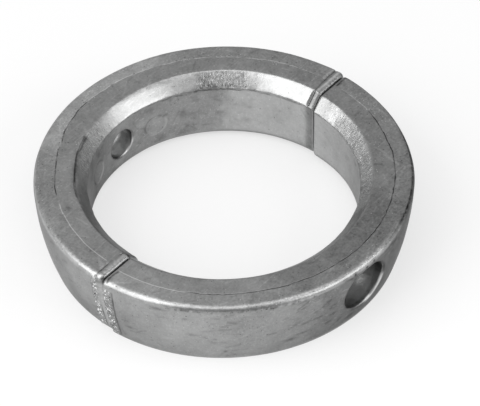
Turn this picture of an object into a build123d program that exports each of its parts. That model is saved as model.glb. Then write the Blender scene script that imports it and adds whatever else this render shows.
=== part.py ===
from build123d import *
from math import sqrt
import os

# Split collar anode: two cast zinc half rings that close round a drive-leg hub.
# Millimetres. +Z is the ring's axis, the bevelled face is up, and the ring lies on Z = 0.
# The halves meet a little to the front of the ring's middle, square to Y, and their
# screws run along Y. The origin is the middle of the pair, on the floor.

# ---- the ring's section ----------------------------------------------------------
height = 27.6                 # floor to the top face
outer_radius = 65.0           # outer wall at the top face
foot_radius = 60.7            # outer wall at the floor, where it has drawn in on an arc
wall_arc_radius = 98.0        # that arc's own radius; it bellies outwards
bore_radius = 46.2            # straight wall that grips the hub
bevel_width = 4.7             # bevel round the top of the bore, measured along the radius
bevel_depth = 4.9             # the same bevel, measured down the bore
bevel_blend = 3.0             # soft edge between the bevel and the top face
bore_foot_round = 4.6         # round at the bottom of the bore
top_edge_round = 1.9          # round at the top of the outer wall

# ---- how the halves meet ---------------------------------------------------------
split_gap = 0.4               # free width between the two end faces
split_offset = -1.6           # the middle of that gap, along Y: the rear half is the larger
end_round = 1.2               # round all along the edge of each end face
slip = 0.8                    # how far the halves lie out of line, along the split

# ---- screw holes, one through the middle of each half ----------------------------
# They were drilled by hand, so each has its own rise above the middle of the bore's
# straight wall, and its own turn off square to the split.
screw_hole_radius = 5.5       # clearance for an M10 screw
screw_hole_lip = 0.5          # worn round at the hole's inner mouth
head_recess_radius = 9.3      # room for the screw's head and its tool
head_recess_lip = 0.9         # worn round at the recess's mouth
seat_thickness = 6.0          # metal left between the recess's floor and the bore
rear_hole_rise = -0.85
rear_hole_turn = 0.6          # degrees
front_hole_rise = 0.95
front_hole_turn = -2.4        # degrees

# ---- small marks of the casting --------------------------------------------------
pin_mark_radius = 4.25        # round ejector marks in the rear half's bore
pin_mark_depth = 0.15
pin_mark_turn = 19.2          # degrees from the screw hole, to either side
pin_mark_rise = -1.45         # as for the holes
gate_near = 2.4               # strips of broken-off gate metal beside the split, at -X
gate_width = 2.7
gate_proud = 0.35
gate_top_margin = 3.4         # plain wall left above each strip
gate_foot_margin = 0.6        # plain wall left below it

bore_middle = (bore_foot_round + height - bevel_depth) / 2
REAR, FRONT = 1, -1           # which side of the split a half is on, along Y
clear_of_ring = 2 * outer_radius


def ring(wall_offset=0.0):
    """The whole ring, turned from its section, with the outer wall moved out by wall_offset."""
    wall_top = (outer_radius + wall_offset, height)
    wall_foot = (foot_radius + wall_offset, 0)
    bevel_top = (bore_radius + bevel_width, height)
    bevel_foot = (bore_radius, height - bevel_depth)
    round_top = (bore_radius, bore_foot_round)
    round_foot = (bore_radius + bore_foot_round, 0)
    round_middle = bore_foot_round * (1 - 1 / sqrt(2))
    with BuildSketch(Plane.XZ) as section:
        with BuildLine():
            Line(round_foot, wall_foot)
            RadiusArc(wall_foot, wall_top, -wall_arc_radius)
            Line(wall_top, bevel_top)
            Line(bevel_top, bevel_foot)
            Line(bevel_foot, round_top)
            ThreePointArc(round_top, (bore_radius + round_middle, round_middle), round_foot)
        make_face()
        for corner, radius in ((wall_top, top_edge_round), (bevel_top, bevel_blend)):
            nearest = section.vertices().sort_by_distance(corner)[0]
            fillet(nearest, radius)
    return revolve(section.sketch, Axis.Z, 360)


def half_space(side):
    """A block that holds everything on one side of the split, clear of the gap."""
    block = Box(2 * clear_of_ring, clear_of_ring, 3 * height)
    return Pos(0, split_offset + side * (split_gap + clear_of_ring) / 2, height / 2) * block


def along_screw(side, turn, rise, shape, start):
    """Stand a shape made on Z along a half's screw axis, start mm out from the ring's axis."""
    heading = side * 90 + turn
    axis = Pos(side * slip / 2, 0, bore_middle + rise) * Rot(0, 0, heading)
    return axis * Pos(start, 0, 0) * Rot(0, 90, 0) * shape


def rod(radius, length):
    """A cylinder that starts at the origin and runs up Z."""
    return Cylinder(radius, length, align=(Align.CENTER, Align.CENTER, Align.MIN))


def round_mouth(half, hole_radius, lip):
    """Round the one edge where a hole's wall meets the curved wall it was drilled into."""
    walls = half.faces().filter_by(GeomType.CYLINDER)
    wall = walls.sort_by(lambda face: abs(face.radius - hole_radius))[0]
    mouth = wall.edges().filter_by(GeomType.LINE, reverse=True).filter_by(GeomType.CIRCLE, reverse=True)
    return fillet(mouth, lip)


def gate_strip(side):
    """The low strip of gate metal left on the outer wall beside the split."""
    top = height - gate_top_margin
    across = split_offset + side * (gate_near + gate_width / 2)
    middle = Pos(-outer_radius, across, (top + gate_foot_margin) / 2)
    strip = middle * Box(outer_radius, gate_width, top - gate_foot_margin)
    return Pos(side * slip / 2, 0, 0) * ring(gate_proud) & strip


def half_ring(side, turn, rise):
    """One half: its end faces are rounded first, then the screw hole is drilled through."""
    half = Pos(side * slip / 2, 0, 0) * ring() & half_space(side)
    end_faces = half.faces().filter_by(Plane.XZ).filter_by(
        lambda face: abs(face.center().Y - split_offset) < split_gap)
    half = fillet(end_faces.edges(), end_round)
    half += gate_strip(side)
    half -= along_screw(side, turn, rise, rod(screw_hole_radius, outer_radius), bore_radius / 2)
    recess_floor = bore_radius + seat_thickness
    half -= along_screw(side, turn, rise, rod(head_recess_radius, outer_radius), recess_floor)
    half = round_mouth(half, screw_hole_radius, screw_hole_lip)
    return round_mouth(half, head_recess_radius, head_recess_lip)


def pin_marks(half):
    """Sink the two ejector marks into the rear half's bore, one each side of its hole."""
    reach = Pos(slip / 2, 0, 0) * Cylinder(bore_radius + pin_mark_depth, 3 * height)
    for turn in (-pin_mark_turn, pin_mark_turn):
        pin = along_screw(REAR, rear_hole_turn + turn, pin_mark_rise,
                          rod(pin_mark_radius, bore_radius), bore_radius / 2)
        half -= pin & reach
    return half


os.makedirs("parts", exist_ok=True)
rear = pin_marks(half_ring(REAR, rear_hole_turn, rear_hole_rise))
front = half_ring(FRONT, front_hole_turn, front_hole_rise)
export_step(rear, "parts/half_ring_rear.step")
export_step(front, "parts/half_ring_front.step")
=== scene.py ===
import bpy
import numpy as np
from functools import reduce
from math import pi, radians, sqrt
from mathutils import Matrix


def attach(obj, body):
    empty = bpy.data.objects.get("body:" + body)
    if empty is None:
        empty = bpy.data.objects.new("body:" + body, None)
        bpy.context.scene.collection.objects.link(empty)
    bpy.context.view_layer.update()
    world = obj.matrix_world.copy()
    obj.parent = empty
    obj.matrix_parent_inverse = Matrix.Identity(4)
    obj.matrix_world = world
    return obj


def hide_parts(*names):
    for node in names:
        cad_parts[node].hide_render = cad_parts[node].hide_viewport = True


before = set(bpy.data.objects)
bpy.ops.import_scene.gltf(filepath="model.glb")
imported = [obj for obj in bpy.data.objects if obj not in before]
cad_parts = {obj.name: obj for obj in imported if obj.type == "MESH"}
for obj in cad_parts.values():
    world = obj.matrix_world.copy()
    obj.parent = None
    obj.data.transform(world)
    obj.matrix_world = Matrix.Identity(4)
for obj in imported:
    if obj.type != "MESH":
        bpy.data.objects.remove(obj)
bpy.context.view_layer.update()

# Split collar anode: two cast zinc half rings. All shapes are worked out in
# millimetres and written to the meshes in metres. Each half is worked out in its own
# frame, in which it covers angles 0 to 180 degrees round its own axis, and is then
# turned and shifted into place: "rear" is the +Y half, "front" is the -Y half.
MM = 0.001

# ---- sizes ----
# As in the solids, but for the edges that are worn or rolled over: the two blends of the
# bevel, the top and foot edges, the hole's lip and the ends.
HEIGHT = 27.6
OUTER_R = 65.0
FOOT_R = 60.7
WALL_ARC_R = 98.0
BORE_R = 46.2
BEVEL_WIDTH = 4.7
BEVEL_DEPTH = 4.9
BEVEL_BLEND = 1.2
BORE_FOOT_ROUND = 4.6
TOP_EDGE_ROUND = 2.4
BEVEL_FOOT_ROUND = 1.3
FOOT_EDGE_ROUND = 0.5
SPLIT_GAP = 0.4
SPLIT_OFFSET = -1.6            # the middle of the gap, along Y
ROLL_WIDTH = 2.1               # the rear half's ends: a bead whose crest is this far in,
ROLL_DEPTH = 1.8               # and this high over the end face's edge
BEAD_GROOVE = 0.5              # depth of the groove that ends the bead
GROOVE_REACH = 0.8             # width of that groove's far slope
END_ROUND = 1.3                # the front half's ends are rounded
SLIP = 0.8                     # how far the halves lie out of line
HOLE_R = 5.5
RECESS_R = 9.3
HOLE_LIP = 0.7
LIP_CEILING = 10.2             # the highest that the recess's lip goes over its middle
SEAT_R = BORE_R + 6.0          # where the recess's floor is, out along the screw
SEAT_ROUND = 0.4               # round in the recess's corner
SEAT_EDGE = 0.3                # broken edge of the hole in the recess's floor
BEVEL_TOP = np.array([BORE_R + BEVEL_WIDTH, HEIGHT])
BEVEL_FOOT = np.array([BORE_R, HEIGHT - BEVEL_DEPTH])
BORE_MIDDLE = (BORE_FOOT_ROUND + HEIGHT - BEVEL_DEPTH) / 2
PIN_MARK_R = 4.25
PIN_MARK_TURN = 19.2           # degrees from the screw hole, to either side
PIN_MARK_RISE = -1.45          # over the middle of the bore's straight wall
# Millimetres of arc per degree, near enough; at the top face they are taken as equal.
WALL_ARC, BORE_ARC, BEVEL_ARC, MID_ARC = 1.13, 0.81, 0.85, 0.96

HALVES = {
    "rear": dict(side=1, hole_turn=90.6, hole_z=BORE_MIDDLE - 0.85, seed=3),
    "front": dict(side=-1, hole_turn=87.6, hole_z=BORE_MIDDLE + 0.95, seed=8),
}


# ---- numbers that wander ----
def lattice(seed):
    """A table of random numbers and a shuffled index for noise3."""
    rng = np.random.default_rng(seed)
    order = rng.permutation(256)
    return np.concatenate([order, order]), rng.uniform(-1, 1, 256)


LATTICES = [lattice(100 + k) for k in range(12)]


def noise3(p, size, which):
    """Smooth noise in space, -1 to 1: random values at the corners of cubes of the given
    size, blended inside each cube by t*t*(3-2t) along each axis."""
    order, value = LATTICES[which]
    q = p / size + 1000.0
    cell = np.floor(q).astype(np.int64)
    t = q - cell
    t = t * t * (3 - 2 * t)
    cell &= 255
    total = 0.0
    for corner in np.ndindex(2, 2, 2):
        weight, index = 1.0, 0
        for axis, far in enumerate(corner):
            weight = weight * (t[..., axis] if far else 1 - t[..., axis])
            index = order[(index + cell[..., axis] + far) & 255]
        total += weight * value[index]
    return total


def smooth(x, lo, hi):
    """0 below lo, 1 above hi, and an S-curve between."""
    t = np.clip((x - lo) / (hi - lo), 0, 1)
    return t * t * (3 - 2 * t)


def fade(x, lo, hi):
    """1 below lo, 0 above hi, and an S-curve between."""
    return 1.0 - smooth(x, lo, hi)


# ---- the section ----
def rounded_corner(before, corner, after, radius, count=24):
    """An arc of the given radius that touches both straight lines through a corner."""
    a = (before - corner) / np.linalg.norm(before - corner)
    b = (after - corner) / np.linalg.norm(after - corner)
    half = np.arccos(np.clip(a @ b, -1, 1)) / 2
    reach = radius / np.tan(half)
    centre = corner + (a + b) / np.linalg.norm(a + b) * radius / np.sin(half)
    start = np.arctan2(*(corner + a * reach - centre)[::-1])
    stop = np.arctan2(*(corner + b * reach - centre)[::-1])
    turn = (stop - start + pi) % (2 * pi) - pi
    angle = start + turn * np.linspace(0, 1, count)
    return centre + radius * np.column_stack([np.cos(angle), np.sin(angle)])


def section_outline():
    """The half ring's section as one closed line of (radius, height) points: out along the
    floor, up the outer wall's arc, in along the top, down the bevel and the bore."""
    chord = np.array([OUTER_R - FOOT_R, HEIGHT])
    sagitta = sqrt(WALL_ARC_R ** 2 - (chord @ chord) / 4)
    middle = np.array([(OUTER_R + FOOT_R) / 2, HEIGHT / 2])
    centre = middle + sagitta * np.array([-chord[1], chord[0]]) / np.linalg.norm(chord)
    z = np.linspace(0, HEIGHT, 400)
    wall = np.column_stack([centre[0] + np.sqrt(WALL_ARC_R ** 2 - (z - centre[1]) ** 2), z])
    bore_foot = np.array([BORE_R, 0.0])
    foot_edge = rounded_corner(bore_foot, wall[0], wall[20], FOOT_EDGE_ROUND)
    top_edge = rounded_corner(wall[-28], wall[-1], BEVEL_TOP, TOP_EDGE_ROUND)
    blend = rounded_corner(wall[-1], BEVEL_TOP, BEVEL_FOOT, BEVEL_BLEND)
    knee = rounded_corner(BEVEL_TOP, BEVEL_FOOT, bore_foot, BEVEL_FOOT_ROUND)
    heel = rounded_corner(BEVEL_FOOT, bore_foot, wall[0], BORE_FOOT_ROUND)
    upright = wall[(z > foot_edge[-1, 1] + 0.05) & (z < top_edge[0, 1] - 0.05)]
    line = np.vstack([heel[-1:], foot_edge, upright, top_edge, blend, knee, heel])
    steps = np.linalg.norm(np.diff(line, axis=0), axis=1)
    return line[np.concatenate([[True], steps > 1e-6])]


LINE = section_outline()
RUN = np.concatenate([[0], np.cumsum(np.linalg.norm(np.diff(LINE, axis=0), axis=1))])
TOTAL_RUN = RUN[-1]


def on_line(s):
    """The section's radius and height at a distance s along its outline."""
    return np.interp(s, RUN, LINE[:, 0]), np.interp(s, RUN, LINE[:, 1])


def line_normal(s):
    """The section's outward direction (radius, height) at a distance s along its outline."""
    r0, z0 = on_line((s - 0.02) % TOTAL_RUN)
    r1, z1 = on_line((s + 0.02) % TOTAL_RUN)
    d = np.stack([z1 - z0, r0 - r1], axis=-1)
    return d / np.linalg.norm(d, axis=-1, keepdims=True)


def run_at(radius, height):
    """The distance along the outline of its point nearest to a radius and a height."""
    return RUN[np.argmin((LINE[:, 0] - radius) ** 2 + (LINE[:, 1] - height) ** 2)]


def spread(marks, counts):
    """Distances along a line: counts[k] equal steps from marks[k] to marks[k + 1]."""
    return np.concatenate([np.linspace(a, b, n, endpoint=False)
                           for a, b, n in zip(marks[:-1], marks[1:], counts)])


# ---- where the casting is worn, wavy and scarred ----
WINDOW_ROWS = 48              # rows of the grid that a window covers
MID_R = 55.0                  # radius at which the end stations are even
WINDOW_TURN = 10.4            # degrees each side of a screw hole that its own patch covers
WINDOW_RINGS = 12             # rings of faces from a window's rim to the hole's mouth
STATION_STEP = 0.45           # degrees between stations, away from the ends
# The broken-off gate strips: their near and far edges from the split, and their top.
GATE = {"rear": (2.75, 5.2, HEIGHT - 2.2), "front": (0.5, 3.75, HEIGHT - 3.4)}
GATE_PROUD = 0.35
NICK_DEPTH = 0.35
RELIEF_LEVEL = 0.185          # the relief's mean depth, which keeps it inside the solids
SCORE_TURN = 1.65             # where the scored circle turns outwards beside the split
TURNED = np.array([[0.36, 0.48, -0.80], [-0.80, 0.60, 0.0], [0.48, 0.64, 0.60]])

# The scored circle: azimuths (degrees) on the whole ring, and its radius (mm) at each.
SCORE_LINE = {
    "rear": ([0, 31, 62, 88, 97, 106, 114, 129, 142, 180],
             [57.7, 57.9, 58.3, 58.9, 59.3, 58.6, 57.8, 57.3, 57.5, 57.5]),
    "front": ([-180, -120, -60, 0], [57.8, 57.9, 58.2, 58.0]),
}
# Small deep nicks under the outer edge: (azimuth, height, size).
NICKS = {
    "rear": [],
    "front": [(-98.2, 25.6, 0.45), (-93.4, 25.2, 0.5), (-90.2, 25.6, 0.4), (-113.0, 25.4, 0.35)],
}
# Frosted parts of the bevel: (from, to, softness, strength), in degrees.
FROST = {
    "rear": [(33.5, 47.0, 4.5, 0.9), (103.0, 127.0, 8.0, 0.55)],
    "front": [(-62.0, -20.0, 10.0, 0.75)],
}
FOLD_R = 50.5
FOLD_REACH = (110.0, 141.0, 4.0)


def fractal(p, size, which, layers=3, fall=0.6):
    """Layers of noise3, each half the size of the last, turned, and weaker by fall."""
    total, weight = 0.0, 1.0
    for k in range(layers):
        total += weight * noise3(p, size / 2 ** k, (which + k) % len(LATTICES))
        p = p @ TURNED
        weight *= fall
    return total


def band(x, lo, hi, soft):
    """1 between lo and hi, fading to 0 over soft on either side."""
    return smooth(x, lo - soft, lo) * fade(x, hi, hi + soft)


def bell(x, middle, width):
    """exp(-((x - middle) / width)^2)."""
    return np.exp(-((x - middle) / width) ** 2)


def oval(x, y, long, wide):
    """A soft spot: exp(-(x / long)^2) * exp(-(y / wide)^2)."""
    return bell(x, 0, long) * bell(y, 0, wide)


def around(name, theta):
    """A half's own angle as degrees round the whole ring: rear 0..180, front -180..0."""
    return theta if name == "rear" else theta - 180


def zones(r, z, facing_up):
    """Which surface a point is on, each 0 to 1: outer wall, bore, bevel and top."""
    wall = smooth(r, 58.5, 60.0) * smooth(z, 0.3, 1.2) * fade(facing_up, 0.35, 0.6)
    bore = fade(r, BORE_R + 0.2, BORE_R + 0.6)
    over_knee = smooth(z, 22.6, 23.2)
    bevel = over_knee * fade(r, 50.3, 51.1) * (1 - bore * (1 - over_knee))
    top = smooth(z, 26.4, 27.1) * smooth(r, 50.8, 51.6)
    return wall, bore, bevel, top


def from_split(name, p):
    """How far a point in a half's own frame is from the middle of the split."""
    return p[..., 1] - HALVES[name]["side"] * SPLIT_OFFSET


def gate_metal(name, p, z, theta, wall):
    """The broken-off gate strips beside the split at -X, 0 to 1, and the furrow along their
    far edge. Ragged edges come from noise added to both coordinates."""
    at_gate = theta > 90 if name == "rear" else theta < 90
    aside = from_split(name, p)
    near, far, high = GATE[name]
    ragged = 0.40 * noise3(p, 2.2, 11) + 0.20 * noise3(p, 0.9, 7)
    strip = smooth(aside + ragged, near - 0.25, near + 0.25)
    strip *= fade(aside + 0.4 * ragged, far - 0.3, far + 0.05)
    strip = strip * fade(z + 2 * ragged, high - 0.6, high + 0.4) * wall * at_gate
    line, shown = (far + 0.25, 1.0) if name == "front" else (near - 0.2, fade(z, 8.0, 14.0))
    furrow = bell(aside, line, 0.3) * wall * at_gate * shown * fade(z, high - 1.0, high + 0.2)
    return strip, furrow


def at_bore(r):
    """1 on the section's line down the bore."""
    return fade(r, BORE_R + 0.1, BORE_R + 0.5)


def at_wall(r, z):
    """1 on the section's line up the outer wall."""
    return smooth(r, 60.0, 62.0) * fade(z, 24.5, 26.5)


def bead_edge(at_gate, r):
    """How far from the end face the groove that ends the rear half's bead is, in mm."""
    far = np.where(at_gate, 3.2, 3.6)
    return 2.7 + (far - 2.7) * smooth(r, 51, 60)


def groove_share(at_gate, r, z):
    """How plain that groove is, 0 to 1: at -X only round the bead's inner tip and near its
    outer end, at +X all along."""
    on_top = smooth(z, 26.4, 27.2) * smooth(r, 50.0, 51.0)
    tip = fade(r, 52.0, 53.0)
    outer_end = band(r, 58.3, 62.0, 0.7)
    top = np.where(at_gate, 0.12 + 0.88 * np.maximum(tip, outer_end),
                   0.45 + 0.55 * smooth(r, 55.5, 57.5))
    beside = (1 - at_bore(r)) * (1 - 0.7 * at_wall(r, z))
    return smooth(z, 1.0, 5.0) * (top * on_top + beside * (1 - on_top))


def turned_line(name, p, off, top):
    """The ragged line where the scored circle turns outwards along the front half's ends."""
    if name == "rear":
        return 0 * off
    wander = 0.25 * noise3(p, 2.0, 1) + 0.15 * noise3(p, 0.9, 2)
    return bell(from_split(name, p) + wander, SCORE_TURN, 0.38) * smooth(off, -0.2, 0.3) * top


def score_distance(name, r, azimuth):
    """How far a point is outside the wandering circle scored into the top face."""
    arc = np.stack([azimuth, 0 * azimuth + 7.0, 0 * azimuth], axis=-1)
    circle = np.interp(azimuth, *SCORE_LINE[name])
    return r - circle - 0.22 * noise3(arc, 6.0, 4) - 0.12 * noise3(arc, 1.8, 5)


def relief(name, p, r, z, theta, facing_up):
    """How far the cast surface stands out from the true one, in mm: a sum of broad, middle
    and fine noise held below zero, less shallow marks, plus the rough gate strips.
    p is in the half's own frame; theta is in degrees; facing_up is the normal's height part."""
    seed = 0 if name == "rear" else 3
    broad = 0.10 * noise3(p, 17.0, seed) + 0.05 * noise3(p, 7.0, seed + 1)
    lumps = 0.020 * fractal(p, 2.8, seed + 2)
    wall, bore, bevel, top = zones(r, z, facing_up)
    edge = smooth(r, 62.2, 63.2) * smooth(z, 24.6, 25.6)
    out = broad * (1 - 0.35 * bevel) + lumps * (1 - 0.7 * bevel) * (1 - 0.75 * edge)
    out -= RELIEF_LEVEL
    azimuth = around(name, theta)
    # the bevel's two edges wander
    arc = np.stack([theta * BEVEL_ARC, np.full_like(theta, 3.0), z * 0.1], axis=-1)
    knee = bell(z, BEVEL_FOOT[1] - 0.2, 0.7) * fade(r, 48, 49)
    out -= knee * (0.10 + 0.10 * noise3(arc, 4.0, seed + 4) + 0.05 * noise3(arc, 1.4, seed + 5))
    brow = bell(r, BEVEL_TOP[0], 0.9) * smooth(z, 26.0, 27.0)
    out -= brow * (0.10 + 0.06 * noise3(arc, 5.0, seed + 6) + 0.07 * noise3(arc, 1.3, seed + 2))
    # the frosted parts of the bevel are rougher
    frosted = frost_cover(name, p, r, azimuth, bevel)
    out -= frosted * (0.05 - 0.07 * fractal(p * np.array([1.0, 1.0, 0.7]), 1.0, 6, 2))
    # the scored circle is a shallow step, and the ring outside it is rougher
    off = score_distance(name, r, azimuth)
    out -= top * (0.05 * bell(off, 0.0, 0.4) + 0.03 * fade(off, -0.3, 0.1))
    out += top * smooth(off, 0, 0.5) * 0.018 * fractal(p, 1.1, 9, 2)
    out -= 0.16 * turned_line(name, p, off, top)
    for turn, height, size in NICKS[name]:
        nick = oval((azimuth - turn) * WALL_ARC, z - height, size, size)
        out -= NICK_DEPTH * nick * smooth(r, 62, 63)
    # a fold where the rear bevel meets the top
    if name == "rear":
        fold = bell(r, FOLD_R + 0.35 * noise3(arc, 4.0, 7), 0.38) * smooth(z, 25.6, 26.6)
        out -= fold * band(azimuth, *FOLD_REACH) * (0.34 + 0.16 * noise3(p, 1.6, 8))
    # rough strips of gate metal
    strip, furrow = gate_metal(name, p, z, theta, wall)
    rough = 0.26 * noise3(p, 0.85, 9) + 0.20 * noise3(p, 1.7, 10)
    out = out + strip * (GATE_PROUD * 0.8 + rough) - furrow * (0.30 + 0.10 * noise3(p, 1.6, 8))
    # shallow round ejector marks in the rear half's bore
    if name == "rear":
        for turn in (-PIN_MARK_TURN, PIN_MARK_TURN):
            away = pin_mark_distance(theta, z, turn)
            dish = fade(away, -0.45, 0.0)
            out += bore * (bell(away, 0.1, 0.3) * 0.05 - dish * 0.15)
    floor = fade(z, 0.05, 0.6)
    return out * (1 - floor * smooth(-facing_up, 0.5, 0.9))


def pin_mark_distance(theta, z, turn):
    """Distance outside an ejector mark's round edge in the rear half's bore, in mm."""
    across = radians(1) * (theta - HALVES["rear"]["hole_turn"] - turn) * BORE_R
    return np.hypot(across, z - BORE_MIDDLE - PIN_MARK_RISE) - PIN_MARK_R


def frost_cover(name, p, r, azimuth, bevel):
    """How frosted the bevel is, 0 to 1, with ragged sides."""
    ragged = azimuth + 3.0 * fractal(p, 4.5, 2, 2)
    cover = 0.0
    for lo, hi, soft, strength in FROST[name]:
        cover = np.maximum(cover, strength * band(ragged, lo, hi, soft))
    return cover * bevel


def end_rolls(name, s):
    """How the section's outline is rolled over at a half's ends, as (width along the ring,
    depth) at each distance s: a broad roll on the rear half, a small round on the front
    one, and less of both along the floor."""
    r, z = on_line(s)
    low = smooth(z, 0.1, 2.2)
    bevel = smooth(z, 22.0, 23.0) * fade(r, 50.3, 51.3)
    if name == "rear":
        bore = at_bore(r) * (1 - bevel)
        width = ROLL_WIDTH - 0.5 * bevel - 0.9 * bore
        depth = ROLL_DEPTH - 0.7 * bevel - bore
        return 0.5 + (width - 0.5) * low, 0.4 + (depth - 0.4) * low
    wall = at_wall(r, z)
    edge = 0.4 + (END_ROUND - 0.5 * bevel * (1 - wall) - 0.4) * low * (1 - 0.6 * wall)
    return edge, edge


def station_angles(name):
    """Where the grid's stations are: distances from a half's end plane for those near its
    ends, close together at the rounded edges, and even angles for those between."""
    near = np.array([0.0, 0.02, 0.07, 0.15, 0.27, 0.42, 0.60, 0.82, 1.08, 1.38, 1.70, 2.00,
                     2.22, 2.40, 2.55, 2.70, 2.85, 3.02, 3.25, 3.55, 3.9, 4.25, 4.6, 4.95,
                     *np.linspace(5.4, 13.4, 17)])
    face = SPLIT_GAP / 2 + HALVES[name]["side"] * SPLIT_OFFSET
    first = np.degrees(np.arcsin((near[-1] + face) / MID_R))
    count = int(round((180 - 2 * first) / STATION_STEP))
    middle = np.linspace(first, 180 - first, count + 1)[1:-1]
    return near, face, middle


WALL_FOOT = run_at(FOOT_R + 0.12, 0.6)
WALL_TOP = run_at(OUTER_R, HEIGHT - TOP_EDGE_ROUND)


def wall_run(z):
    """The distance along the outline of the outer wall's point at a height."""
    reach = (RUN >= WALL_FOOT) & (RUN <= WALL_TOP)
    return np.interp(z, LINE[reach, 1], RUN[reach])


def bore_run(z):
    """The distance along the outline of the bore's straight wall at a height."""
    return run_at(BORE_R, BORE_FOOT_ROUND) + BORE_FOOT_ROUND - z


def section_samples(hole_z):
    """Distances along the outline for the grid's rows, close together at the edges, and the
    row numbers at the bottom and top of the windows in the outer wall and in the bore."""
    blend = BEVEL_BLEND * np.tan(np.arctan2(BEVEL_DEPTH, BEVEL_WIDTH) / 2)
    slope = np.array([BEVEL_WIDTH, BEVEL_DEPTH]) / np.hypot(BEVEL_WIDTH, BEVEL_DEPTH)
    wall_low = max(hole_z - 11.5, 1.3)
    wall_high = min(hole_z + 11.4, HEIGHT - TOP_EDGE_ROUND - 0.15)
    bore_low = hole_z - 7.6
    bore_high = min(hole_z + 7.6, BEVEL_FOOT[1] - 0.9)
    marks = [0.0, run_at(FOOT_R - FOOT_EDGE_ROUND, 0), WALL_FOOT, wall_run(wall_low),
             wall_run(wall_high), WALL_TOP, run_at(OUTER_R - TOP_EDGE_ROUND, HEIGHT),
             run_at(BEVEL_TOP[0] + blend, HEIGHT), run_at(*(BEVEL_TOP - slope * blend)),
             run_at(*(BEVEL_FOOT + slope * 0.7)), run_at(BORE_R, BEVEL_FOOT[1] - 0.7),
             bore_run(bore_high), bore_run(bore_low), bore_run(BORE_FOOT_ROUND), TOTAL_RUN]
    counts = [14, 4, 3, WINDOW_ROWS, 2, 7, 32, 7, 12, 5, 2, WINDOW_ROWS, 3, 12]
    row = np.concatenate([[0], np.cumsum(counts)])
    return spread(marks, counts), (row[3], row[4], row[12], row[11])


def recess_lip(phi):
    """How far the recess's mouth is rounded, by the direction phi from its middle (0 is along
    the ring, a quarter turn is up): most at the upper left, least under the top face."""
    upper_left = smooth(np.cos(phi - 0.75 * pi), 0.3, 1.0)
    below_top = LIP_CEILING / np.maximum(np.sin(phi), 0.01) - RECESS_R
    return np.minimum(1.35 + 0.85 * upper_left, below_top)


def place(r, theta, z):
    """A half's own (radius, angle in degrees, height) as points in space, in mm."""
    t = np.radians(theta)
    return np.stack([r * np.cos(t), r * np.sin(t), np.broadcast_to(z, t.shape)], axis=-1)


def stand_out(name, p, s, theta):
    """Move surface points out by the relief, along the section's outward direction."""
    n = line_normal(s)
    r, z = on_line(s)
    t = np.radians(theta)
    outward = np.stack([n[..., 0] * np.cos(t), n[..., 0] * np.sin(t), n[..., 1] + 0 * t], axis=-1)
    return p + outward * relief(name, p, r, z, theta, n[..., 1])[..., None]


def rim_loop(k0, k1, j_low, j_high):
    """Grid positions round a window's rim, anticlockwise as seen from outside the ring."""
    def rows(j0, j1):
        return np.linspace(j0, j1, WINDOW_ROWS + 1).round().astype(int)[:-1]
    return np.array([(k, j_low) for k in range(k0, k1)] + [(k1, j) for j in rows(j_low, j_high)]
                    + [(k, j_high) for k in range(k1, k0, -1)]
                    + [(k0, j) for j in rows(j_high, j_low)])


def ring_faces(loops):
    """Quads between each loop of vertex numbers and the next."""
    loops = np.array(loops)
    here, there = loops[:-1], loops[1:]
    quads = np.stack([here, np.roll(here, -1, 1), np.roll(there, -1, 1), there], axis=-1)
    return quads.reshape(-1, 4)


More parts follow.
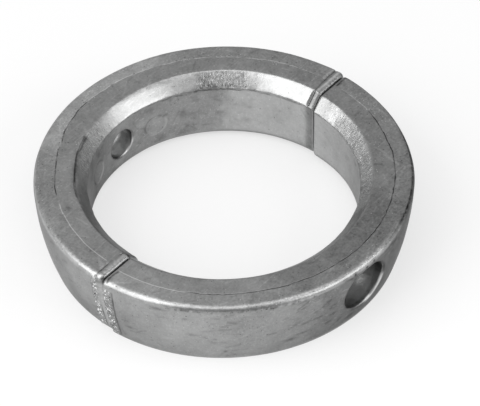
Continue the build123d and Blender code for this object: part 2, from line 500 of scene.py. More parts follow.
def half_ring_surface(name):
    """A half ring as points and quads. The grid point (k, j) is the section's outline at
    distance s[j], carried to station angle theta[k] and drawn in near the two end planes by
    D * (1 - sqrt(1 - (1 - e/W)^2)), where e is the distance from the end plane, so every end
    edge is a quarter of an ellipse, W along the ring and D deep; the rear half's bead is
    ended by a groove. Round the screw hole, two windows of the grid give way to rings that
    run from the window's rim to the hole's mouth, down its wall, across the seat and out at
    the other mouth. Each end is closed by shrinking copies of its own edge. The relief moves
    the grid and the windows; the hole's wall has a fine noise of its own."""
    half = HALVES[name]
    hole, hole_z = half["hole_turn"], half["hole_z"]
    s, (low_out, high_out, low_in, high_in) = section_samples(hole_z)
    r0, z0 = on_line(s)
    n0 = line_normal(s)
    near, face, middle = station_angles(name)
    roll_width, roll_depth = end_rolls(name, s)

    def end_station(e, which):
        y = e + face
        short = np.clip(1 - e / roll_width, 0, 1)
        draw = roll_depth * (1 - np.sqrt(1 - short ** 2))
        if name == "rear":
            edge = bead_edge(which == 1, r0)
            beyond = np.clip((e - roll_width) / (edge - roll_width), 0, 1)
            sunk = BEAD_GROOVE * (1 - np.sqrt(1 - beyond ** 2)) * fade(e, edge, edge + GROOVE_REACH)
            draw += sunk * groove_share(which == 1, r0, z0)
        r, z = r0 - n0[:, 0] * draw, z0 - n0[:, 1] * draw
        blend = smooth(e, 2.0, 13.0)
        theta = np.degrees(np.arcsin(y / r) * (1 - blend) + np.arcsin(y / MID_R) * blend)
        return r, z, theta if which == 0 else 180 - theta

    stations = [end_station(e, 0) for e in near]
    stations += [(r0, z0, np.full_like(r0, t)) for t in middle]
    stations += [end_station(e, 1) for e in near[::-1]]
    r, z, theta = np.array(stations).transpose(1, 0, 2)
    count_t, count_s = r.shape
    p = place(r, theta, z)
    shown = stand_out(name, p, np.broadcast_to(s, r.shape), theta)
    index = np.arange(count_t * count_s).reshape(count_t, count_s)

    k0 = len(near) + int(np.argmin(abs(middle - (hole - WINDOW_TURN))))
    k1 = len(near) + int(np.argmin(abs(middle - (hole + WINDOW_TURN))))
    inside = np.zeros((count_t, count_s), bool)
    inside[k0:k1, low_out:high_out] = True
    inside[k0:k1, high_in:low_in] = True
    ahead = np.roll(index, -1, 1)
    quads = np.stack([index[:-1], index[1:], ahead[1:], ahead[:-1]], axis=-1)
    quads = quads[~inside[:-1]].reshape(-1, 4)

    # ---- the screw hole ----
    points = [shown.reshape(-1, 3)]
    total = count_t * count_s
    turn = radians(hole)
    along = np.array([np.cos(turn), np.sin(turn)])
    across = np.array([-np.sin(turn), np.cos(turn)])

    def at_hole(rho, d, phi):
        """Points d out along the screw and rho from its axis, in the direction phi."""
        d, t = np.broadcast_to(d, phi.shape), rho * np.cos(phi)
        flat = along * d[:, None] + across * t[:, None]
        return np.column_stack([flat, hole_z + rho * np.sin(phi)])

    def window(j_low, j_high, on_wall):
        """Rings from a window's rim to the hole's mouth: straight lines across the wall."""
        rim = rim_loop(k0, k1, j_low, j_high)
        start = p[rim[:, 0], rim[:, 1]]
        t = start[:, :2] @ across
        h = start[:, 2]
        phi = np.unwrap(np.arctan2(h - hole_z, t))
        mouth_r = RECESS_R + recess_lip(phi) if on_wall else HOLE_R + HOLE_LIP
        f = (np.arange(1, WINDOW_RINGS + 1) / WINDOW_RINGS)[:, None]
        tt = t * (1 - f) + mouth_r * np.cos(phi) * f
        hh = h * (1 - f) + (hole_z + mouth_r * np.sin(phi)) * f
        run = wall_run(hh) if on_wall else bore_run(hh)
        wall_radius = on_line(run)[0]
        th = hole + np.degrees(np.arcsin(tt / wall_radius))
        base = place(wall_radius, th, hh)
        cast = stand_out(name, base, run, th)
        return index[rim[:, 0], rim[:, 1]], phi, cast, (cast[-1] - base[-1])[:, :2] @ along

    rim_out, phi_out, cast_out, shift_out = window(low_out, high_out, True)
    rim_in, phi_in, cast_in, shift_in = window(low_in, high_in, False)

    def lip(phi, radius, size, shift, on_wall, steps):
        """A quarter round from the mouth into the hole's wall, as rows of (rho, d, phi)."""
        rows = []
        for angle in np.linspace(0, pi / 2, steps + 1)[1:]:
            rho = radius + size * (1 - np.sin(angle))
            wall_radius = on_line(wall_run(hole_z + rho * np.sin(phi)))[0] if on_wall else BORE_R
            mouth = np.sqrt(wall_radius ** 2 - (rho * np.cos(phi)) ** 2)
            sunk = size * (1 - np.cos(angle))
            rows.append((rho, mouth + shift * np.cos(angle) + (-sunk if on_wall else sunk), phi))
        return rows

    rows = lip(phi_out, RECESS_R, recess_lip(phi_out), shift_out, True, 9)
    top_d = rows[-1][1]
    rows += [(RECESS_R, top_d * (1 - f) + (SEAT_R + SEAT_ROUND) * f, phi_out)
             for f in np.linspace(0, 1, 20)[1:]]
    rows += [(RECESS_R - SEAT_ROUND * (1 - np.cos(angle)),
              SEAT_R + SEAT_ROUND * (1 - np.sin(angle)), phi_out)
             for angle in (pi / 6, pi / 3, pi / 2)]
    rows += [((RECESS_R - SEAT_ROUND) * (1 - f) + (HOLE_R + SEAT_EDGE) * f, SEAT_R,
              phi_out * (1 - f / 2) + phi_in * f / 2)
             for f in np.linspace(0, 1, 9)[1:]]
    mouth = lip(phi_in, HOLE_R, HOLE_LIP, shift_in, False, 4)[::-1]
    rows += [(HOLE_R, (SEAT_R - SEAT_EDGE) * (1 - f) + mouth[0][1] * f,
              phi_out * (1 - f) / 2 + phi_in * (1 + f) / 2)
             for f in np.linspace(0, 1, 9)[:-1]]
    rows += mouth
    hole_points = np.array([at_hole(*row) for row in rows])
    outward = hole_points - np.append(along * SEAT_R, hole_z)
    outward -= (outward[..., :2] @ along)[..., None] * np.append(along, 0)
    outward /= np.linalg.norm(outward, axis=-1, keepdims=True)
    grit = 0.05 * noise3(hole_points, 3.1, 2) + 0.03 * noise3(hole_points, 1.2, 5)
    held = np.ones(len(rows))     # none at the mouths, where the hole meets the windows
    held[:3] = (0.0, 0.3, 0.7)
    held[-3:] = (0.7, 0.3, 0.0)
    hole_points += outward * (grit * held[:, None])[..., None]

    loops = [rim_out]
    for block in (cast_out, hole_points, cast_in[::-1]):
        n, m = block.shape[:2]
        points.append(block.reshape(-1, 3))
        loops += list(total + np.arange(n * m).reshape(n, m))
        total += n * m
    loops.append(rim_in)
    quads = [quads, ring_faces(loops)]

    # ---- the two end faces ----
    fans = []
    for k, flip in ((0, False), (count_t - 1, True)):
        edge = shown[k]
        middle_point = edge.mean(axis=0)
        loop = [index[k]]
        for f in (0.12, 0.3, 0.55, 0.8):
            points.append(edge * (1 - f) + middle_point * f)
            loop.append(total + np.arange(count_s))
            total += count_s
        points.append(middle_point[None])
        faces = ring_faces(loop)
        fan = np.stack([loop[-1], np.roll(loop[-1], -1), np.full(count_s, total)], axis=-1)
        total += 1
        quads.append(faces[:, ::-1] if flip else faces)
        fans.append(fan[:, ::-1] if flip else fan)
    return np.concatenate(points), np.concatenate(quads), np.concatenate(fans)


# ---- how the surface is marked ----
# Stretches of different tone: (surface, from, to, softness, change of tone), in degrees
# on the whole ring; "outer" and "inner" are the top face outside and inside the scored circle.
# Some are painted light and shade: painted shade where the floor that the bore and the front
# outer wall reflect lies in shadow, painted light where it is lit.
PAINTED_LIGHT_AND_TONE = {
    "rear": [
        ("inner", -5, 60, 10, -0.02), ("inner", 128, 172, 8, 0.02), ("outer", 66, 118, 7, 0.13),
        # painted shade: the bore from 96 to 185 degrees
        ("outer", -5, 52, 10, -0.02), ("bevel", 128, 185, 10, -0.04), ("bore", 96, 185, 10, -0.11),
        # painted light: the bore from -5 to 34 degrees
        ("bore", -5, 34, 12, 0.09), ("bore", 46, 84, 10, -0.07), ("wall", 128, 185, 8, 0.085),
        ("bevel", 46.5, 50, 3, -0.10), ("bevel", 28, 32, 3, -0.04),
    ],
    "front": [
        # painted shade: the outer wall from -128 and from -104 to 5 degrees
        ("wall", -128, 5, 22, -0.05), ("wall", -104, 5, 20, -0.10), ("top", -96, 5, 10, -0.05),
        ("inner", -185, -128, 14, 0.03), ("outer", -185, -136, 10, 0.06),
        ("bevel", -66, -16, 8, 0.26),
        ("inner", -120, -68, 10, -0.08), ("outer", -116, -70, 10, -0.05),
        # painted light: the bore from -58 to 5 degrees
        ("bore", -58, 5, 14, 0.13),
    ],
}
# Places thick with bright specks: (azimuth, radius, length, width, strength), in degrees and mm.
FLECKS = {
    "rear": [
        (54, 57.9, 3.0, 0.8, 1.0), (46, 60.0, 3.5, 1.0, 0.6), (59, 52.7, 1.6, 0.7, 1.0),
        (39.5, 58.4, 2.5, 0.6, 1.0), (35, 58.5, 1.6, 0.7, 0.8), (27, 56.9, 2.2, 0.8, 1.0),
        (21.6, 57.2, 1.8, 0.7, 1.0), (42, 51.3, 7.0, 0.6, 0.7), (92, 60.5, 9.0, 1.4, 0.45),
        (108, 60.0, 8.0, 1.6, 0.55), (82, 62.5, 9.0, 1.6, 0.4), (122, 59.5, 7.0, 2.0, 0.35),
        (146, 63.3, 13.0, 0.7, 0.75), (70, 59.5, 12.0, 0.5, 0.5), (116, 52.2, 4.0, 0.9, 0.7),
        (133, 56.0, 8.0, 2.5, 0.2),
    ],
    "front": [
        (-12, 59.5, 4.0, 1.6, 0.8), (-20, 60.0, 5.0, 1.8, 0.5), (-26, 61.5, 3.0, 1.2, 0.6),
        (-56, 51.8, 7.0, 0.8, 0.55), (-4, 57.0, 1.5, 0.6, 0.8), (-40, 53.0, 7.0, 1.0, 0.3),
        (-110, 62.3, 16.0, 0.9, 0.3), (-150, 62.9, 14.0, 0.6, 0.35),
    ],
}
# Dark bruises in the front outer wall: (azimuth, height, length, width, depth of tone).
BRUISES = [
    (-160, 24.3, 2.4, 0.7, 0.14), (-150, 13.8, 1.3, 0.5, 0.12), (-146, 12.8, 0.7, 0.5, 0.10),
    (-143, 11.9, 0.6, 0.5, 0.10), (-170, 9.1, 0.7, 0.7, 0.12), (-140, 4.5, 0.5, 0.6, 0.16),
    (-120, 6.1, 1.9, 0.8, 0.16), (-163, 5.7, 0.6, 0.5, 0.10), (-116, 8.0, 2.6, 0.6, 0.13),
    (-106, 12.0, 1.7, 0.7, 0.10), (-98, 3.5, 2.2, 0.9, 0.08),
]
# Scratches, rubs and streaks: surface, least share of it, mm of arc per degree, seed, number,
# lengths, widths, lean and its spread (degrees), change of tone.
STROKES = [
    ("top", 0.05, 1.0, 11, 90, (1.0, 7.0), (0.22, 0.40), 20, 50, 0.10),
    ("top", 0.05, 1.0, 12, 70, (0.6, 4.0), (0.25, 0.6), -15, 60, -0.09),
    ("wall", 0.3, WALL_ARC, 13, 170, (0.5, 5.0), (0.25, 0.55), 4, 22, -0.10),
    ("wall", 0.3, WALL_ARC, 14, 60, (1.0, 6.0), (0.25, 0.5), 10, 35, 0.05),
    ("bore", 0.3, BORE_ARC, 15, 60, (1.0, 6.0), (0.22, 0.45), 15, 50, -0.06),
]
BASE_TONE = 0.405
BASE_ROUGHNESS = 0.345


def strokes(u, v, seed, count, lengths, widths, lean, spread_by):
    """Short straight marks scattered over a flattened surface (u, v), 0 to 1: each is
    exp(-(d / width)^2) of the distance d to its middle line, and the strongest one counts."""
    rng = np.random.default_rng(seed)
    box = (u.min(), u.max(), v.min(), v.max())
    total = np.zeros_like(u)
    for _ in range(count):
        cu, cv = rng.uniform(*box[:2]), rng.uniform(*box[2:])
        half_long, wide = rng.uniform(*lengths) / 2, rng.uniform(*widths)
        turn = radians(lean + rng.normal() * spread_by)
        strength = rng.uniform(0.3, 1.0)
        near = np.flatnonzero((abs(u - cu) < half_long + 2) & (abs(v - cv) < half_long + 2))
        du, dv = u[near] - cu, v[near] - cv
        along = np.maximum(abs(du * np.cos(turn) + dv * np.sin(turn)) - half_long, 0)
        aside = dv * np.cos(turn) - du * np.sin(turn) + 0.012 * du * du * rng.uniform(-1, 1)
        mark = strength * np.exp(-(aside ** 2 + along ** 2) / wide ** 2)
        total[near] = np.maximum(total[near], mark)
    return total


def marks(name, p):
    """Three numbers per point for each of four attributes of the finish:
    cast_tone: brightness with its painted light and shade, roughness, strength of the grain;
    cast_spots: frost, bright specks, dark specks;
    cast_score: distance from the scored circle, darkness and brightness of its line;
    cast_seam: distance from the bevel's foot or fold, its darkness, gate metal."""
    r, z = np.hypot(p[:, 0], p[:, 1]), p[:, 2]
    theta = np.degrees(np.arctan2(p[:, 1], p[:, 0])) % 360
    theta = np.where(theta > 270, theta - 360, theta)
    azimuth = around(name, theta)

    def span(lo, hi, soft):
        return band(azimuth, lo, hi, soft)

    facing_up = smooth(z, 26.6, 27.3) * smooth(r, 50.6, 51.0) * fade(r, 63.6, 64.4)
    wall, bore, bevel, top = zones(r, z, facing_up)
    off = score_distance(name, r, azimuth)
    outer, inner = top * smooth(off, -0.15, 0.15), top * fade(off, -0.15, 0.15)
    wall = wall * smooth(r, 59.5, 60.5)
    surface = {"wall": wall, "bore": bore, "bevel": bevel, "top": top, "outer": outer,
               "inner": inner}
    ragged = azimuth + 3.5 * fractal(p, 6.0, 1, 3)
    seed = 0 if name == "rear" else 5
    aside = from_split(name, p)

    # ---- brightness, with painted light and shade ----
    cloud = fractal(p, 15.0, seed, 3)
    blotch = fractal(p, 5.0, seed + 2, 3)
    mottle = fractal(p, 1.9, seed + 4, 2)
    # painted shade: the outer wall and the bore are darker than the top face
    tone = BASE_TONE - 0.025 * wall - 0.055 * bore + 0.022 * cloud + 0.028 * blotch
    tone += 0.024 * mottle * (0.7 + 0.7 * top)
    edge = smooth(r, 62.8, 63.6) * smooth(z, 25.0, 26.0)
    # painted highlight on the round of the outer top edge; on the front it is stronger from -118 to
    # -84 degrees, and painted shade dims it from -153 to -132 degrees and next to the -X split
    tone += 0.02 * edge
    if name == "front":
        tone += 0.13 * edge * span(-118, -84, 9)
        tone -= 0.07 * edge * span(-153, -132, 8)
        tone -= 0.06 * edge * fade(azimuth, -172, -162)
    for kind, lo, hi, soft, change in PAINTED_LIGHT_AND_TONE[name]:
        tone += surface[kind] * change * band(ragged, lo, hi, soft)
    for kind, least, arc, draw, count, lengths, widths, lean, sway, change in STROKES:
        on = np.flatnonzero(surface[kind] > least)
        height = r if kind == "top" else z
        tone[on] += change * strokes(azimuth[on] * arc, height[on], draw + seed, count,
                                     lengths, widths, lean, sway)
    tone -= 0.045 * bore * smooth(fractal(p, 4.0, seed + 3, 3), 0.25, 0.9)
    if name == "front":
        for turn, height, long, wide, depth in BRUISES:
            tone -= wall * depth * oval((azimuth - turn) * WALL_ARC, z - height, long, wide)
        for turn, height, size in NICKS[name]:
            nick = oval((azimuth - turn) * WALL_ARC, z - height, size, size)
            tone -= 0.30 * nick * smooth(r, 62, 63)
        pitted = smooth(noise3(p, 0.9, 6) + 0.5 * noise3(p, 2.4, 3), -0.3, 0.6)
        pitted *= span(-154, -118, 5)
        tone -= 0.22 * bell(z, 25.7, 0.5) * smooth(r, 62.5, 63.5) * pitted
        # painted shade dims the outer top edge's highlight from -68 to -36 degrees
        tone -= 0.13 * bell(r, 64.2, 0.9) * smooth(z, 25.0, 26.2) * span(-68, -36, 8)
    else:
        tone += rear_end_tone_and_painted_light(p, r, z, theta, edge)
        for turn in (-PIN_MARK_TURN, PIN_MARK_TURN):
            away = pin_mark_distance(theta, z, turn)
            shade = 0.09 * smooth(noise3(p, 3.0, 2), -0.7, 0.4) * bell(away, 0.0, 0.42)
            across = np.radians(theta - HALVES[name]["hole_turn"] - turn) * -BORE_R
            lit = smooth(across - z + BORE_MIDDLE, 1.5, 5.0)
            tone -= bore * (shade * (1 - 0.8 * lit) - 0.11 * lit * bell(away, 0.1, 0.35)
                                  + 0.008 * fade(away, -0.3, 0.0))
        fold_near = span(*FOLD_REACH) * bell(r, FOLD_R + 0.2, 1.1) * smooth(z, 25.4, 26.4)
        tone -= 0.15 * fold_near * smooth(blotch, -0.5, 0.4)
        tone -= 0.16 * oval((azimuth - 148) * MID_ARC, r - 55.0, 1.0, 0.9) * top
        tone -= 0.10 * bevel * span(27, 52, 3) * fade(z, 23.2, 24.8)
    # painted shade at the foot of the bore, where it meets the floor
    tone -= 0.03 * bore * fade(z, 0.5, 3.0)

    # ---- specks ----
    flecks = 0.012 + 0.02 * top
    for turn, radius, long, wide, strength in FLECKS[name]:
        flecks += top * strength * oval(azimuth - turn, r - radius, long, wide)
    pits = 0.05 + 0.05 * top + 0.06 * wall
    if name == "rear":
        dross = bell(z, 20.5 - (azimuth - 138) * 0.25, 1.2)
        flecks += 0.9 * wall * span(138, 158, 3) * dross
        pits += 0.8 * span(133, 161, 3) * bell(r, 63.4, 0.8) * top
        pits += 0.35 * top * bell(off, 0.5, 1.2) * span(92, 130, 8)
    else:
        pitted = bell(z, 25.6, 0.7) * smooth(r, 62.5, 63.5)
        pits += 0.4 * pitted * span(-156, -112, 6)
    strip, furrow = gate_metal(name, p, z, theta, wall)
    flecks += 1.1 * strip
    pits += 0.55 * strip
    tone = tone - 0.20 * furrow - 0.02 * strip

    # ---- frost, the scored line and the bevel's edges ----
    frost = frost_cover(name, p, r, azimuth, bevel)
    broken = smooth(noise3(p, 2.4, 8) + 0.6 * noise3(p, 1.0, 9), -0.35, 0.15)
    if name == "rear":
        dark = np.maximum(span(94, 113, 3), span(119, 139, 3))
        dark *= (0.45 + 0.55 * broken)
        bright = np.maximum(0.75 * span(10, 92, 6) * broken, 0.8 * span(146, 176, 2))
        scored = top * smooth(aside, 3.7, 4.2)
        at_fold = span(*FOLD_REACH) * smooth(z, 25.8, 26.6) * (0.5 + 0.5 * broken)
        over_fold = smooth(z, 25.0, 25.6)
        at_knee = span(6, 66, 5)
        bloom = outer * smooth(blotch, -0.2, 0.8) * span(70, 114, 5)
    else:
        dark = span(-150, -22, 4) * (0.55 + 0.45 * broken)
        bright = np.maximum(0.8 * span(-177, -150, 1.5), 0.5 * span(-18, -5, 3) * broken)
        scored = top * smooth(aside, 1.5, 2.0)
        at_fold = over_fold = bloom = 0.0
        at_knee = 0.7 * span(-62, -22, 5)
    tone -= 0.38 * turned_line(name, p, off, top) * (1 - 0.35 * (azimuth > -90))
    fold_off = r - FOLD_R - 0.2 - 0.4 * noise3(p, 3.5, 7)
    knee_off = z - BEVEL_FOOT[1] + 0.35 + 0.5 * noise3(p, 3.0, 6)
    seam_off = fold_off * over_fold + knee_off * (1 - over_fold)
    knee_dark = (1 - over_fold) * fade(r, 47.0, 47.8) * smooth(z, 20.5, 21.5) * at_knee
    knee_dark *= (0.10 + 0.45 * broken)

    # ---- roughness, grain and the screw hole ----
    rough = BASE_ROUGHNESS + 0.020 * blotch + 0.015 * cloud + 0.05 * outer + 0.015 * inner
    rough = rough + 0.12 * frost + 0.16 * strip - 0.02 * bevel - 0.03 * edge
    grain = 0.95 + 1.15 * outer + 0.65 * inner + 0.5 * frost + 1.2 * strip - 0.10 * bore
    grain += 0.7 * bloom
    in_recess, in_hole, painted_lip_light = screw_shares(name, p)
    # painted light and shade at the screw hole: patches of painted light in the recess, painted
    # shade in the hole broken by the same patches, and the lips' painted highlight and shade
    painted_light_patch = smooth(noise3(p, 5.0, 4) + 0.3 * noise3(p, 1.2, 5), 0.0, 0.6)
    tone = tone + 0.05 * bloom + in_recess * (0.02 + 0.12 * painted_light_patch) + painted_lip_light
    tone -= (0.12 - 0.10 * painted_light_patch) * in_hole
    rough += 0.06 * in_recess
    return {
        "cast_tone": np.stack([tone, rough, grain], axis=-1),
        "cast_spots": np.stack([frost, flecks, pits], axis=-1),
        "cast_score": np.stack([off, dark * scored, bright * scored], axis=-1),
        "cast_seam": np.stack([seam_off, np.maximum(at_fold, knee_dark), strip], axis=-1),
    }


def rear_end_tone_and_painted_light(p, r, z, theta, edge):
    """The change of tone by the rear half's ends, nearly all painted light and shade: a painted
    highlight along the bead's crest, painted shade on the slope before it and in the groove
    behind it, at -X painted shade on its outer corner and round its inner tip and a painted
    glint on the top, at +X a painted highlight beyond the groove and painted shade before it,
    painted shade on the bead across the bevel, and a darker bore beside the split."""
    _, bore, bevel, top = zones(r, z, 0.0)
    aside = from_split("rear", p)
    at_gate = theta > 90
    groove = bead_edge(at_gate, r) + SPLIT_GAP / 2
    crest = np.where(at_gate, 1.75, 1.95)
    painted_crest_highlight = np.where(at_gate, 0.20, 0.34) * bell(aside, crest, np.where(at_gate, 0.6, 0.42))
    slope = fade(aside, crest - 0.95, crest - 0.35) * smooth(z, 24.8, 25.6) * smooth(r, 50.2, 50.8)
    corner = smooth(r, 61.8, 63.0) * smooth(z, 23.5, 24.8) * fade(aside, 2.6, 3.8)
    tip = fade(aside, groove - 0.3, groove + 0.4) * bell(r, 51.0, 0.45) * smooth(z, 26.0, 26.8)
    beyond = bell(aside, groove + 0.75, 0.28) * band(r, 57.5, 63.5, 0.5)
    streaky = noise3(np.stack([aside, z * 0.15, r * 0.1], axis=-1), 0.55, 3)
    painted_bevel_shade = bevel * fade(aside, groove - 0.2, groove) * smooth(aside, 0.5, 1.2)
    # painted highlight along the bead's crest, painted shade on the slope towards the split
    tone = (top + edge * 0.3) * painted_crest_highlight - 0.10 * slope
    tone -= bore * (0.20 * fade(aside, 1.8, 4.6) + 0.05 * fade(aside, 0.6, 1.8))
    # at +X: painted highlight beyond the groove, painted shade between it and the crest
    tone += ~at_gate * top * (0.11 * beyond - 0.06 * bell(aside, crest + 1.2, 0.5))
    # at -X: a painted glint, painted shade on the outer corner and painted shadow round the inner
    # tip
    glint = oval(r - 60.0, aside - 4.9, 1.5, 0.6)
    tone += at_gate * (0.09 * top * glint - 0.17 * corner - 0.18 * tip)
    # painted shade on the bead where it crosses the bevel
    tone -= painted_bevel_shade * (0.20 + 0.10 * streaky)
    # painted shade in the groove that ends the bead
    return tone - 0.17 * bell(aside, groove, 0.32) * groove_share(at_gate, r, z)


def screw_shares(name, p):
    """At the screw hole: 1 inside the head's recess, 1 on the wall of the hole itself, and the
    painted light and shade on the lips of both: a painted highlight on their lower side, painted
    shade beside it and on the hole's upper lip."""
    half = HALVES[name]
    turn = radians(half["hole_turn"])
    out_along = p[:, 0] * np.cos(turn) + p[:, 1] * np.sin(turn)
    aside = p[:, 1] * np.cos(turn) - p[:, 0] * np.sin(turn)
    rise = p[:, 2] - half["hole_z"]
    away = np.hypot(aside, rise)
    in_recess = fade(away, RECESS_R, RECESS_R + 0.5) * band(out_along, BORE_R + 1.0, 63.0, 1.0)
    in_hole = fade(away, HOLE_R + 0.1, HOLE_R + 0.5) * band(out_along, BORE_R + 0.3, SEAT_R, 0.4)
    slant = (aside * half["side"] * -1 - rise) / np.maximum(away, 0.1)
    lower = smooth(slant, 1.05, 1.38)
    beside = smooth(slant, -0.2, 0.6) * fade(slant, 0.9, 1.25)
    wide_lip = bell(away, RECESS_R + 0.55, 0.42) * smooth(out_along, 58.0, 60.0)
    small_lip = bell(away, HOLE_R + 0.3, 0.3) * fade(out_along, BORE_R + 1.0, BORE_R + 1.5)
    painted_lip_light = lower * (0.46 * wide_lip + 0.40 * small_lip)
    painted_lip_light -= beside * (0.12 * wide_lip + 0.08 * small_lip)
    return in_recess, in_hole, painted_lip_light - 0.12 * smooth(-slant, 0.0, 0.8) * small_lip


def add_object(name, data):
    """A new object in the scene."""
    obj = bpy.data.objects.new(name, data)
    bpy.context.scene.collection.objects.link(obj)
    return obj


def add_half(name, material):
    """The mesh of one half, turned and shifted into place, with unused points left out."""
    own, quads, fans = half_ring_surface(name)
    used = np.unique(np.concatenate([quads.ravel(), fans.ravel()]))
    renumber = np.zeros(len(own), np.int64)
    renumber[used] = np.arange(len(used))
    own = own[used]
    side = HALVES[name]["side"]
    p = own * (side, side, 1)
    p[:, 0] += side * SLIP / 2
    mesh = bpy.data.meshes.new(f"cast_half_{name}")
    mesh.from_pydata((p * MM).tolist(), [], renumber[quads].tolist() + renumber[fans].tolist())
    mesh.validate()
    mesh.shade_smooth()
    for label, values in marks(name, own).items():
        attribute = mesh.attributes.new(label, "FLOAT_VECTOR", "POINT")
        attribute.data.foreach_set("vector", values.astype(np.float32).ravel())
    mesh.materials.append(material)
    obj = add_object(f"cast_half_{name}", mesh)
    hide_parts(f"half_ring_{name}")
    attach(obj, "root")


# ---- the finish ----
ZINC_TINT = (0.994, 1.0, 0.998)
GRAIN_SIZE, SPECK_SIZE, CHIP_SIZE = 0.85, 0.62, 1.05      # mm


class Finish:
    """A material's nodes, written as sums."""

    def __init__(self, name):
        self.material = bpy.data.materials.new(name)
        self.material.use_nodes = True
        self.tree = self.material.node_tree
        self.shader = self.tree.nodes["Principled BSDF"]

    def add(self, kind, inputs=None, **settings):
        """A new node, with what goes into its sockets, by name or number."""
        node = self.tree.nodes.new(kind)
        for key, value in settings.items():
            setattr(node, key, value)
        for key, value in (inputs or {}).items():
            self.join(value, node.inputs[key])
        return node

    def join(self, value, socket):
        """Set a socket to a number or a tuple, or link another node's output to it."""
        if isinstance(value, (int, float, tuple)):
            socket.default_value = value
        else:
            self.tree.links.new(value, socket)

    def math(self, operation, *values, clamp=False):
        return self.add("ShaderNodeMath", dict(enumerate(values)), operation=operation,
                        use_clamp=clamp).outputs[0]

    def times(self, *values):
        return reduce(lambda a, b: self.math("MULTIPLY", a, b), values)

    def plus(self, *terms):
        """The sum of some values; a pair in brackets stands for its product."""
        values = [self.times(*term) if isinstance(term, tuple) else term for term in terms]
        return reduce(lambda a, b: self.math("ADD", a, b), values)

    def mix(self, share, a, b):
        return self.plus(a, (share, self.math("SUBTRACT", b, a)))

    def object_mm(self):
        """Object coordinates in mm."""
        metres = self.add("ShaderNodeTexCoord").outputs["Object"]
        return self.add("ShaderNodeVectorMath", {0: metres, "Scale": 1 / MM},
                        operation="SCALE").outputs[0]

    def noise(self, at, size, detail, rough, spot=0.0):
        """Noise 0 to 1 with features of about size mm, read at a spot of its own."""
        where = self.add("ShaderNodeVectorMath", {0: at, 1: (spot, spot * 0.7, spot * 1.3)},
                         operation="ADD").outputs[0]
        return self.add("ShaderNodeTexNoise", {"Vector": where, "Scale": 1 / size,
                                               "Detail": detail, "Roughness": rough}).outputs[0]

    def stretched(self, at, turn, scale, detail, rough, spot):
        """Noise 0 to 1 drawn out along a line at an angle round Z; scale is per mm."""
        node = self.add("ShaderNodeMapping", {
            "Vector": at, "Location": (spot, spot * 0.7, 0.0),
            "Rotation": (0.0, 0.0, radians(turn)), "Scale": scale})
        return self.noise(node.outputs[0], 1.0, detail, rough)

    def cells(self, at, size):
        """The distance from the middle of cells of about size mm, and a number for each cell."""
        node = self.add("ShaderNodeTexVoronoi", {"Vector": at, "Scale": 1 / size})
        colour = self.add("ShaderNodeSeparateColor", {0: node.outputs["Color"]})
        return node.outputs["Distance"], colour.outputs[0]

    def step(self, *spans):
        """Carry a value from lo..hi smoothly to 0..1, or to another pair that follows."""
        return self.add("ShaderNodeMapRange", dict(enumerate(spans)),
                        interpolation_type="SMOOTHSTEP").outputs[0]

    def drop(self, value, lo, hi):
        """Carry lo..hi smoothly to 1..0."""
        return self.step(value, lo, hi, 1.0, 0.0)

    def line(self, away, width, soft):
        """1 within width of zero, fading over soft."""
        return self.drop(self.math("ABSOLUTE", away), width, width + soft)

    def painted(self, label):
        """The three parts of one of the mesh's own attributes."""
        node = self.add("ShaderNodeAttribute", attribute_name=label)
        return self.add("ShaderNodeSeparateXYZ", {0: node.outputs["Vector"]}).outputs


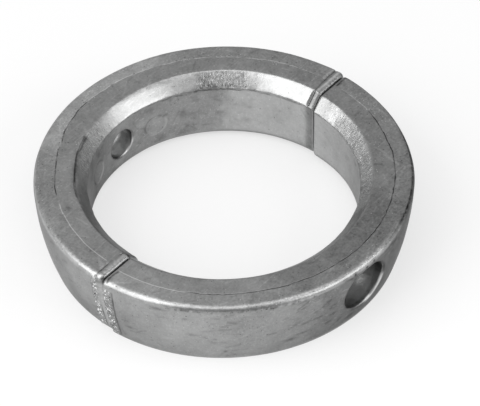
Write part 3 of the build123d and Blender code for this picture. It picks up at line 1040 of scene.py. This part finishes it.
def cast_zinc():
    """Dull cast zinc: a rough metal with cloudy grey, a fine grain, frosted patches on the
    bevel, a scored circle on the top face, fine scratches and specks of dross. Where each of
    these lies is in the mesh's own attributes; their fine pattern is worked out here."""
    f = Finish("cast_zinc")
    mm = f.object_mm()
    tone, rough, graininess = f.painted("cast_tone")
    frost, flecks, pits = f.painted("cast_spots")
    off_score, score_dark, score_bright = f.painted("cast_score")
    off_seam, seam_dark, gate = f.painted("cast_seam")
    grain = f.math("MULTIPLY_ADD", f.noise(mm, GRAIN_SIZE, 3.0, 0.62, 77.0), 2.0, -1.0)
    grain = f.times(grain, graininess)

    # ---- frost: bright and dark needles that cross at a slant, on the bevel laid flat ----
    x, y, z = f.add("ShaderNodeSeparateXYZ", {0: mm}).outputs
    slope = f.add("ShaderNodeCombineXYZ", {0: f.times(f.math("ARCTAN2", y, x), 48.0),
                                           1: f.times(z, 1.41)}).outputs[0]
    needles = [f.stretched(slope, turn, (1.9, 0.62, 1.0), 2.5, 0.66, spot)
               for turn, spot in ((38.0, 3.0), (-34.0, 40.0), (4.0, 91.0))]
    light_needle = f.step(reduce(lambda a, b: f.math("MAXIMUM", a, b), needles), 0.58, 0.72)
    dark_needle = f.drop(f.math("MINIMUM", *needles[1:]), 0.33, 0.46)

    # ---- specks, and chips of gate metal ----
    away, pick = f.cells(mm, SPECK_SIZE)
    speck = f.drop(f.math("MULTIPLY_ADD", grain, 0.25, away), 0.18, 0.42)
    bright_speck = f.times(speck, f.step(f.math("MULTIPLY_ADD", flecks, 0.55, pick), 0.985, 1.02))
    dark_speck = f.times(speck, f.drop(f.math("MULTIPLY_ADD", pits, -0.55, pick), -0.02, 0.015))
    away, pick = f.cells(mm, CHIP_SIZE)
    chip = f.drop(f.math("MULTIPLY_ADD", grain, 0.2, away), 0.16, 0.46)
    light_chip = f.times(chip, f.step(pick, 0.36, 0.44), gate)
    dark_chip = f.times(chip, f.drop(pick, 0.26, 0.32), gate)

    # ---- fine scratches, the scored circle and the bevel's lines ----
    scratch = f.math("MAXIMUM", *[
        f.step(f.stretched(mm, turn, (0.10, 2.3, 1.2), 1.0, 0.4, spot), 0.67, 0.73)
        for turn, spot in ((31.0, 13.0), (-48.0, 71.0))])
    score = f.times(f.line(off_score, 0.09, 0.20), score_dark)
    gleam = f.times(f.line(off_score, 0.05, 0.22), score_bright)
    seam = f.times(f.line(off_seam, 0.06, 0.45), seam_dark)

    # ---- colour and gloss ----
    grey = f.plus(tone, (grain, 0.085), (scratch, 0.07), (gleam, 0.40), (bright_speck, 0.30),
                  (light_chip, 0.62))
    frosty = f.plus((tone, 0.70), (light_needle, 0.34), (dark_needle, -0.14), (grain, 0.10))
    grey = f.mix(frost, grey, frosty)
    for mark, keep in ((score, 0.20), (seam, 0.45), (dark_speck, 0.50), (dark_chip, 0.45)):
        grey = f.times(grey, f.mix(mark, 1.0, keep))
    colour = f.add("ShaderNodeCombineColor", {
        k: f.math("MULTIPLY", grey, tint, clamp=True) for k, tint in enumerate(ZINC_TINT)})

    # ---- height, in mm ----
    height = f.plus((grain, 0.020), (score, -0.12), (gleam, 0.03), (seam, -0.10),
                    (bright_speck, 0.010), (light_chip, 0.22), (dark_chip, -0.20),
                    (dark_speck, -0.035),
                    (frost, f.plus((light_needle, 0.07), (dark_needle, -0.06))))
    bump = f.add("ShaderNodeBump", {"Distance": MM, "Strength": 1.0, "Height": height})
    for value, socket in (
            (colour.outputs[0], "Base Color"), (1.0, "Metallic"), (bump.outputs[0], "Normal"),
            (f.plus(rough, (grain, 0.05), (score, 0.25)), "Roughness"),
            ((0.45, 0.45, 0.45, 1.0), "Specular Tint")):
        f.join(value, f.shader.inputs[socket])
    return f.material


# ---- floor, light and camera ----
FLOOR_SIZE = 2.5                # m each way from the middle
FLOOR_COLOUR = 0.9
FLOOR_GLOW = 0.55               # how much of it the camera and reflections see as plain white
WORLD_STRENGTH = 0.50
CAMERA_AZIMUTH = -139.6         # the camera's side, which the lamps go by
LAMP_AIM = 0.014                # m over the floor
# Soft boxes: azimuth from the camera's side, to its right, and elevation (degrees), distance,
# width and height (m), watts.
LAMPS = {
    "left_box": (-63, 34, 1.0, 0.9, 1.0, 6.6),
    "right_box": (68, 29, 1.0, 0.75, 0.6, 3.6),
    "overhead_box": (-10, 74, 1.3, 1.3, 1.1, 5.0),
}
CAMERA_PLACE = (-0.58739, -0.49951, 0.76043)    # m
CAMERA_TURN, CAMERA_TILT, CAMERA_ROLL = 50.017, 44.140, -0.962     # degrees
FRAME_WIDTH = 480
FOCAL_LENGTH = 3145.4           # in pixels of a frame of that width
SENSOR_WIDTH = 36.0             # mm


def add_floor():
    """A plain pale floor, white to the camera and in reflections, that keeps the shadow."""
    corners = np.array([[-1, -1, 0], [1, -1, 0], [1, 1, 0], [-1, 1, 0]]) * FLOOR_SIZE
    mesh = bpy.data.meshes.new("floor")
    mesh.from_pydata(corners, [], [(0, 1, 2, 3)])
    f = Finish("floor")
    rays = f.add("ShaderNodeLightPath").outputs
    seen = f.plus(*(rays[f"Is {kind} Ray"] for kind in ("Camera", "Glossy", "Transmission")))
    diffuse = f.add("ShaderNodeBsdfDiffuse", {"Color": (*[FLOOR_COLOUR] * 3, 1.0)})
    glow = f.add("ShaderNodeEmission", {"Strength": 1.0})
    mixed = f.add("ShaderNodeMixShader", {0: f.times(seen, FLOOR_GLOW), 1: diffuse.outputs[0],
                                          2: glow.outputs[0]})
    f.join(mixed.outputs[0], f.tree.nodes["Material Output"].inputs["Surface"])
    f.tree.nodes.remove(f.shader)
    mesh.materials.append(f.material)
    add_object("floor", mesh)


def facing(azimuth, elevation):
    """Right, up and back for something that looks at the ring from an azimuth and an
    elevation in degrees."""
    a, e = radians(azimuth), radians(elevation)
    back = np.array([np.cos(a) * np.cos(e), np.sin(a) * np.cos(e), np.sin(e)])
    right = np.array([-np.sin(a), np.cos(a), 0.0])
    return right, np.cross(back, right), back


def add_lamp(name, azimuth, elevation, distance, width, height, watts):
    """A soft box that faces the ring."""
    right, up, back = facing(CAMERA_AZIMUTH + azimuth, elevation)
    lamp = bpy.data.lights.new(name, "AREA")
    lamp.shape = "RECTANGLE"
    lamp.size, lamp.size_y, lamp.energy = width, height, watts
    obj = add_object(name, lamp)
    obj.matrix_world = Matrix(np.column_stack([right, up, back]).tolist()).to_4x4()
    obj.location = (back * distance + np.array([0, 0, LAMP_AIM])).tolist()


def add_camera():
    """The camera: its place, where it looks from, and a little roll."""
    right, up, back = facing(-90 - CAMERA_TURN, CAMERA_TILT)
    roll = radians(CAMERA_ROLL)
    across = np.cos(roll) * right + np.sin(roll) * up
    upright = np.cos(roll) * up - np.sin(roll) * right
    lens = bpy.data.cameras.new("camera")
    lens.sensor_width = SENSOR_WIDTH
    lens.sensor_fit = "HORIZONTAL"
    lens.lens = FOCAL_LENGTH * SENSOR_WIDTH / FRAME_WIDTH
    lens.clip_start, lens.clip_end = 0.05, 20.0
    pose = Matrix(np.column_stack([across, upright, back]).tolist()).to_4x4()
    pose.translation = CAMERA_PLACE
    camera = add_object("camera", lens)
    camera.matrix_world = pose
    bpy.context.scene.camera = camera


add_camera()
zinc = cast_zinc()
for half_name in HALVES:
    add_half(half_name, zinc)
add_floor()
for lamp_name, settings in LAMPS.items():
    add_lamp(lamp_name, *settings)
world = bpy.data.worlds.new("studio")
world.use_nodes = True
background = world.node_tree.nodes["Background"].inputs
background["Color"].default_value = (1, 1, 1, 1)
background["Strength"].default_value = WORLD_STRENGTH
bpy.context.scene.world = world
bpy.context.scene.view_settings.view_transform = "Standard"
